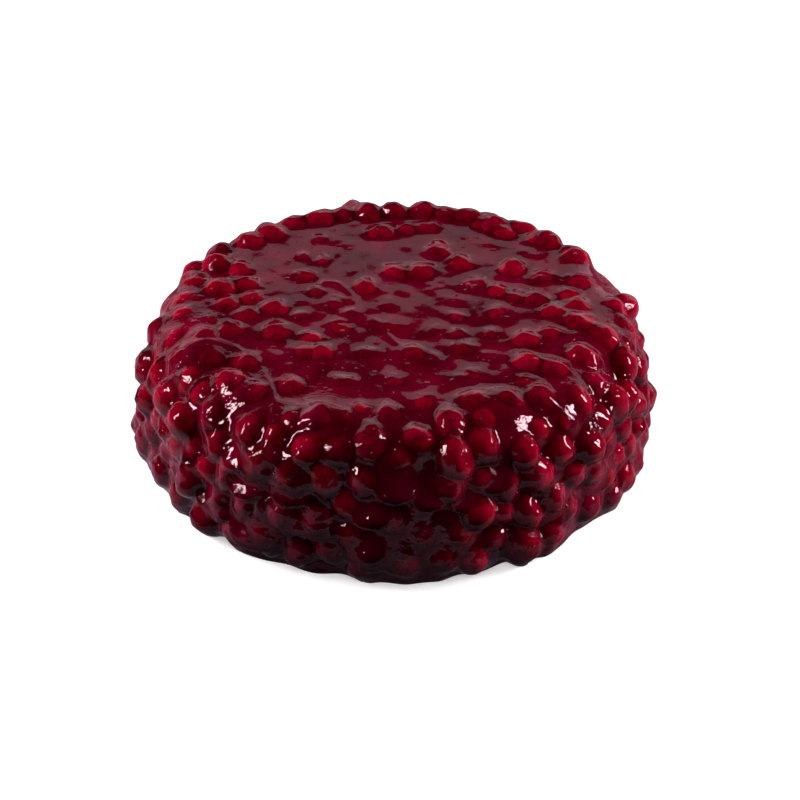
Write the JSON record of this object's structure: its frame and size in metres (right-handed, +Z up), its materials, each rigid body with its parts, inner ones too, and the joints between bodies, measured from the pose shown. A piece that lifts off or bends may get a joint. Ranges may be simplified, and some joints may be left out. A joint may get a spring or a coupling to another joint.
{
  "type": "fruit cream cake",
  "caption": "Round cream cake covered on top and sides with whole glazed sour cherries, its top flooded with clear dark red glaze.",
  "frame": {"origin": "middle of the flat foot that the cake stands on", "axes": "+Z up through the middle of the cake, -Y towards the side that the picture shows, +X to its right"},
  "size_m": [0.2755, 0.2737, 0.083],
  "materials": {
    "glazed_cherries": "wet clear glaze"
  },
  "bodies": {
    "root": {"cherry_cake": "glazed_cherries"}
  },
  "joints": []
}
